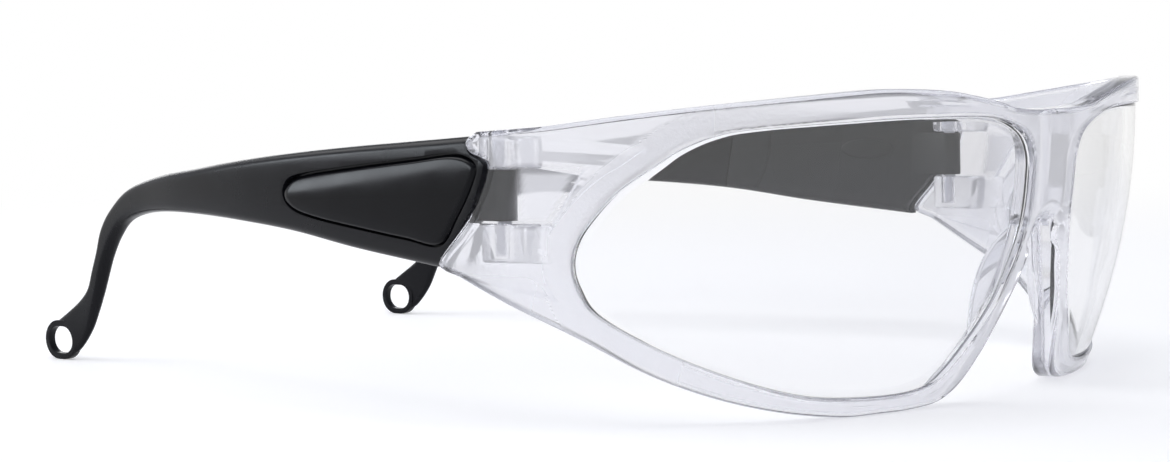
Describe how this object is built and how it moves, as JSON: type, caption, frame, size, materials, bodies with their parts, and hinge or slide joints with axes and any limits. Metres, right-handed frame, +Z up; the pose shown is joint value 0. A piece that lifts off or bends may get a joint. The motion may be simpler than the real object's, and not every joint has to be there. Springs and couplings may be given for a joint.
{
  "type": "safety glasses",
  "caption": "Wrap-around safety glasses: a clear half-wrap front with curved clear lenses, a nose flange on each rim, and folding black temples that end in lanyard eyes.",
  "frame": {"origin": "on the table, under the middle of the open glasses' box", "axes": "+Z up, the front faces -Y and the temples run to +Y, +X to the wearer's left"},
  "size_m": [0.1398, 0.1882, 0.0494],
  "materials": {
    "clear_plastic": "clear moulded polycarbonate, polished, with frosted bands",
    "clear_lens": "clear polished polycarbonate",
    "black_plastic": "black moulded nylon, half gloss",
    "black_gloss": "black, polished",
    "grey_plastic": "dark grey moulded nylon, satin",
    "pin_plastic": "pale moulded plastic"
  },
  "bodies": {
    "front": {"front_frame": "clear_plastic", "lens_left": "clear_lens", "lens_right": "clear_lens", "hinge_pin_left": "pin_plastic", "hinge_pin_right": "pin_plastic"},
    "temple_left": {"temple_arm_left": "black_plastic", "temple_inlay_left": "black_gloss", "hinge_plate_left": "grey_plastic"},
    "temple_right": {"temple_arm_right": "black_plastic", "temple_inlay_right": "black_gloss", "hinge_plate_right": "grey_plastic"}
  },
  "joints": [
    {"name": "fold_left", "type": "hinge", "parent": "front", "child": "temple_left", "pos_m": [0.0643, -0.0361, 0.03445], "axis": [0, 0, 1], "range_deg": [0, 86]},
    {"name": "fold_right", "type": "hinge", "parent": "front", "child": "temple_right", "pos_m": [-0.0643, -0.0361, 0.03445], "axis": [0, 0, -1], "range_deg": [0, 76]}
  ]
}
